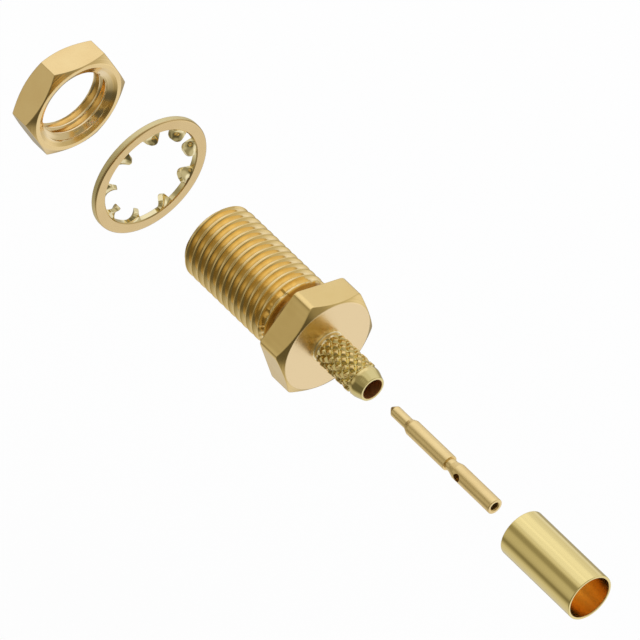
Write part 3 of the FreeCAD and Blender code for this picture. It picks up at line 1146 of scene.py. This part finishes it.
@dataclass
class Studio:
    """A white table in a softly uneven room, and the camera of the photograph."""

    azimuth: float = 42.56
    elevation: float = 36.37
    roll: float = 15.23
    distance: float = 895.7
    lens: float = 693.6
    sensor: float = 36.0
    frame_pixels: float = 640.0
    stem_end_pixel: tuple[float, float] = (372.66, 389.42)
    floor_drop: float = 30.0
    floor_half: float = 3.0
    floor_white: float = 0.9
    room_tone: float = 0.31
    darkest_tone: float = 0.09

    def add_camera(self) -> None:
        """Places the camera so that the stem's end stands at its pixel and distance of the photograph."""
        azimuth, elevation, roll = (math.radians(v) for v in (self.azimuth, self.elevation, self.roll))
        forward = -Vector((math.sin(azimuth) * math.cos(elevation), -math.cos(azimuth) * math.cos(elevation),
                           math.sin(elevation)))
        level = forward.cross(Vector((0, 0, 1))).normalized()
        upright = level.cross(forward)
        right = level * math.cos(roll) + upright * math.sin(roll)
        above = upright * math.cos(roll) - level * math.sin(roll)
        scale = self.lens / self.sensor * self.frame_pixels
        across = (self.stem_end_pixel[0] - self.frame_pixels / 2) / scale
        down = (self.stem_end_pixel[1] - self.frame_pixels / 2) / scale
        stem_end = Vector((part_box("connector_body")[1].x, 0.0, 0.0))
        place = stem_end - self.distance * MM * (forward + across * right - down * above)
        data = bpy.data.cameras.new("camera")
        data.lens = self.lens
        data.sensor_width = self.sensor
        data.clip_start = 0.01
        data.clip_end = 20.0
        camera = new_object("camera", data)
        turn = Matrix((right, above, -forward)).transposed().to_4x4()
        camera.matrix_world = Matrix.Translation(place) @ turn
        bpy.context.scene.camera = camera

    def add_floor(self) -> None:
        """Lays a pale floor that looks white to the camera, keeps a faint shadow and lets metal see the room."""
        side = self.floor_half
        height = -self.floor_drop * MM
        mesh = bpy.data.meshes.new("floor")
        corners = [(-side, -side, height), (side, -side, height), (side, side, height), (-side, side, height)]
        mesh.from_pydata(corners, [], [(0, 1, 2, 3)])
        floor = new_object("floor", mesh)
        material = new_material("pale_floor")
        tree = material.node_tree
        path = add_node(tree, "LightPath")
        painted = add_node(tree, "BsdfDiffuse", None, {"Color": linear("#F2F2F0")})
        white = add_node(tree, "Emission", None, {"Color": WHITE, "Strength": 1.0})
        clear = add_node(tree, "BsdfTransparent")
        seen = add_node(tree, "Math", {"operation": "MULTIPLY"},
                        {0: path.outputs["Is Camera Ray"], 1: self.floor_white})
        paint = add_node(tree, "MixShader", None, {0: seen, 1: painted, 2: white})
        mix = add_node(tree, "MixShader", None, {0: path.outputs["Is Glossy Ray"], 1: paint, 2: clear})
        add_node(tree, "OutputMaterial", None, {"Surface": mix})
        mesh.materials.append(material)

    def add_world(self) -> None:
        """Fills the room with soft light and shade that looks white behind the object.

        The tone in a direction is a plain level plus every glow's smooth step of the cosine between that direction
        and the glow's own. Darker parts are warmer, as walls and hands round a light tent are.
        """
        world = bpy.data.worlds.new("room")
        bpy.context.scene.world = world
        world.use_nodes = True
        tree = world.node_tree
        tree.nodes.clear()
        direction = add_node(tree, "TexCoord").outputs["Generated"]
        unit = add_node(tree, "VectorMath", {"operation": "NORMALIZE"}, {0: direction})
        tone: Any = self.room_tone
        for glow in ROOM_GLOWS:
            cosine = add_node(tree, "VectorMath", {"operation": "DOT_PRODUCT"},
                              {0: unit, 1: Vector(glow.toward).normalized()})
            step = add_node(tree, "MapRange", {"interpolation_type": "SMOOTHSTEP"},
                            {0: cosine.outputs[1], 1: glow.edge, 2: glow.full, 3: 0.0, 4: glow.strength})
            tone = add_node(tree, "Math", {"operation": "ADD"}, {0: tone, 1: step})
        tone = add_node(tree, "Math", {"operation": "MAXIMUM"}, {0: tone, 1: self.darkest_tone})
        tint = add_node(tree, "ValToRGB", None, {0: tone})
        dim, bright = tint.color_ramp.elements
        dim.position, dim.color = 0.2, (1.0, 0.94, 0.72, 1.0)
        bright.position, bright.color = 0.82, (0.98, 1.02, 1.2, 1.0)
        tint.color_ramp.elements.new(0.65).color = WHITE
        path = add_node(tree, "LightPath")
        room = add_node(tree, "Background", None, {"Color": tint, "Strength": tone})
        white = add_node(tree, "Background", None, {"Color": WHITE, "Strength": 1.0})
        mix = add_node(tree, "MixShader", None, {0: path.outputs["Is Camera Ray"], 1: room, 2: white})
        add_node(tree, "OutputWorld", None, {"Surface": mix})

    def add_lamp(self, name: str, toward: tuple[float, float, float], distance: float, size: float,
                 radiance: float) -> None:
        """Hangs a square soft lamp that faces the object and lights its matt parts and the floor.

        Args:
            name: The lamp's name.
            toward: The direction from the object to the lamp.
            distance: How far away it hangs, in metres.
            size: Its side, in metres.
            radiance: How bright its face looks, where one is white.
        """
        data = bpy.data.lights.new(name, "AREA")
        data.shape = "SQUARE"
        data.size = size
        data.energy = radiance * math.pi * size * size
        lamp = new_object(name, data)
        direction = Vector(toward).normalized()
        turn = direction.to_track_quat("Z", "Y").to_matrix().to_4x4()
        lamp.matrix_world = Matrix.Translation(direction * distance) @ turn
        lamp.visible_glossy = False

    def build(self) -> None:
        """Sets up the camera, the floor, the room and the lamps."""
        self.add_camera()
        self.add_floor()
        self.add_world()
        self.add_lamp("top_lamp", (-0.55, 0.5, 0.68), 0.5, 0.42, 1.8)
        self.add_lamp("side_lamp", (0.9, 0.35, 0.5), 0.55, 0.4, 1.4)
        self.add_lamp("front_lamp", (0.1, -0.9, 0.75), 0.6, 0.3, 1.4)
        bpy.context.scene.view_settings.view_transform = "Standard"


def travel(*joints: str) -> float:
    """Adds up how far the named slides go.

    Args:
        joints: Names of joints.

    Returns:
        The sum of their upper ends, in millimetres.
    """
    limits = {joint["name"]: joint["range_m"][1] for joint in frame["joints"]}
    return sum(limits[name] for name in joints) / MM


def drawn_pitch() -> float:
    """Works out the pitch that the thread is drawn with.

    The real one is 0.7056 mm. The nut's own slide stands for its turning, so the pitch is drawn a little coarser,
    a whole number of turns to that slide, and the threads mesh at both of its ends.

    Returns:
        The pitch in millimetres.
    """
    slide = travel("nut_slide")
    return slide / math.floor(slide / REAL_PITCH)


# Brass turned on a lathe, then gold plated. The eye gets clean warm flats with a fine ring pattern on the faces.
BODY_GOLD = GoldPlate("gold_on_turned_brass", zones=(
    # Below the thread's crests the facing flanks mirror each other, which deepens the gold; the grooves are painted a
    # paler gold to offset it, a painted lightening.
    Zone(-1.0, 3.14, -20.0, 0.0, "#FBE0A2", 0.11, 0.32),
    # The run-out groove before the flange is painted browner: painted shade beside the flange.
    Zone(-1.0, 3.16, -1.2, 0.0, "#B8935A", 0.2, 0.15),
    # Knurl and nose, rolled and polished, are the smoothest.
    Zone(-1.0, 1.40, 2.9, 20.0, "#EAD68E", 0.10, 0.16),
    # The plain neck, painted a pale yellow gold so that it and its image in the flange's rear face look brightly lit:
    # a painted highlight.
    Zone(-1.0, 1.40, 2.4, 2.9, "#FFEEBE", 0.25, 0.1),
    # The flange's rear face is faced finely and looks satin.
    Zone(1.42, 4.0, 2.43, 2.48, "#FADCA0", 0.27, 0.02),
    # The stem's bore is drilled and dull.
    Zone(-1.0, 0.90, -20.0, 20.0, "#F0C080", 0.45),
))
# Drawn hexagon brass, tapped and gold plated. The drawn flats are smoother than cut ones: even, with a soft shine.
NUT_GOLD = GoldPlate(
    "gold_on_milled_nut", colour="#F8DA96", worn_colour="#F0CC86", roughness=0.14, grain_depth=0.0002, zones=(
        # The tapped thread is smoother, and painted paler so that it looks bright between its turns: a painted
        # highlight.
        Zone(-1.0, 3.34, -60.0, 0.0, "#FADFA6", 0.12, 0.12),
    ))
# Spring bronze strip, stamped and gold plated. The strip's rolled faces are soft mirrors, paler than turned metal.
WASHER_GOLD = GoldPlate(
    "gold_on_stamped_bronze", colour="#EACC8C", worn_colour="#E2C080", surface=Surface.STAMPED, zones=(
        # The rim is sheared, so it is rough and pale.
        Zone(5.148, 9.0, -60.0, 0.0, "#EEDCA0", 0.5, 0.01),
        # The teeth are bent after stamping, which polishes them; they and the ring's inner wall are painted paler for
        # their bright edges, a painted highlight.
        Zone(-1.0, 4.24, -60.0, 0.0, "#F4E2A8", 0.12),
    ))
# Drawn copper tube, gold plated. The die leaves long faint streaks, and the eye gets bright and dark bands.
# Its gold is painted paler and brighter than the body's, which stands for the brighter light on the tube: painted
# light.
TUBE_GOLD = GoldPlate(
    "gold_on_drawn_tube", colour="#F8E298", worn_colour="#EFD686", roughness=0.12, surface=Surface.DRAWN, zones=(
        # The bore sees only itself, so it goes deep orange.
        Zone(-1.0, 1.82, 0.0, 60.0, "#FFDA92", 0.22),
    ))
# Brass turned to about a millimetre and gold plated. The lathe's marks are large for so thin a pin: a warm satin.
# Its gold is painted brighter than the body's, which stands for the brighter light and highlight on the pin.
PIN_GOLD = GoldPlate("gold_on_turned_pin", colour="#FFE39E", worn_colour="#F6D48C", roughness=0.34)


def main() -> None:
    """Builds every piece, dresses it and sets up the studio."""
    logging.basicConfig(level=logging.INFO, format="%(message)s")
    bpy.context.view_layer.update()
    thread = PanelThread(start=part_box("connector_body")[0].x / MM, pitch=drawn_pitch())
    ConnectorBody(BODY_GOLD, thread).build()
    DielectricSleeve(DielectricPlastic()).build()
    CentreContact(PIN_GOLD).build()
    CrimpFerrule(TUBE_GOLD).build()
    ToothedWasher(WASHER_GOLD).build()
    PanelNut(NUT_GOLD, thread).build(travel("washer_slide", "nut_slide"))
    Studio().build()


if __name__ == "__main__":
    main()
